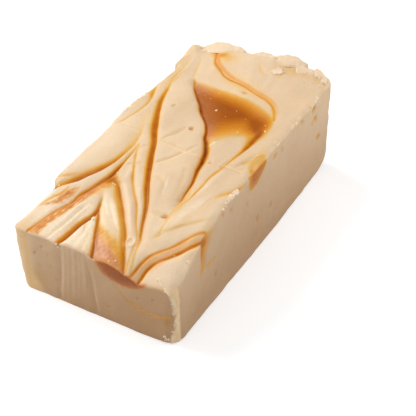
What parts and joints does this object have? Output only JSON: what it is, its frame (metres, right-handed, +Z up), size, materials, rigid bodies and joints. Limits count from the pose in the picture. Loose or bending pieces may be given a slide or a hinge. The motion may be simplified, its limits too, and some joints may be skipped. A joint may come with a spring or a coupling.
{
  "type": "slice of caramel swirl fudge",
  "caption": "Cut rectangular slab of pale vanilla fudge with caramel folded in swirls into its uneven top, flat underneath, shown whole.",
  "frame": {"origin": "middle of the slab's box, on the surface that it rests on", "axes": "+X across the slab to the right, +Y along the slab to the rear, +Z up"},
  "size_m": [0.0489, 0.0913, 0.0348],
  "materials": {
    "cream_fudge": "soft satin cut fudge, cream to tan",
    "caramel": "smooth glossy caramel, amber to brown"
  },
  "bodies": {
    "root": {"fudge_block": "cream_fudge", "caramel_pool": "caramel", "caramel_front": "caramel", "caramel_side": "caramel"}
  },
  "joints": []
}
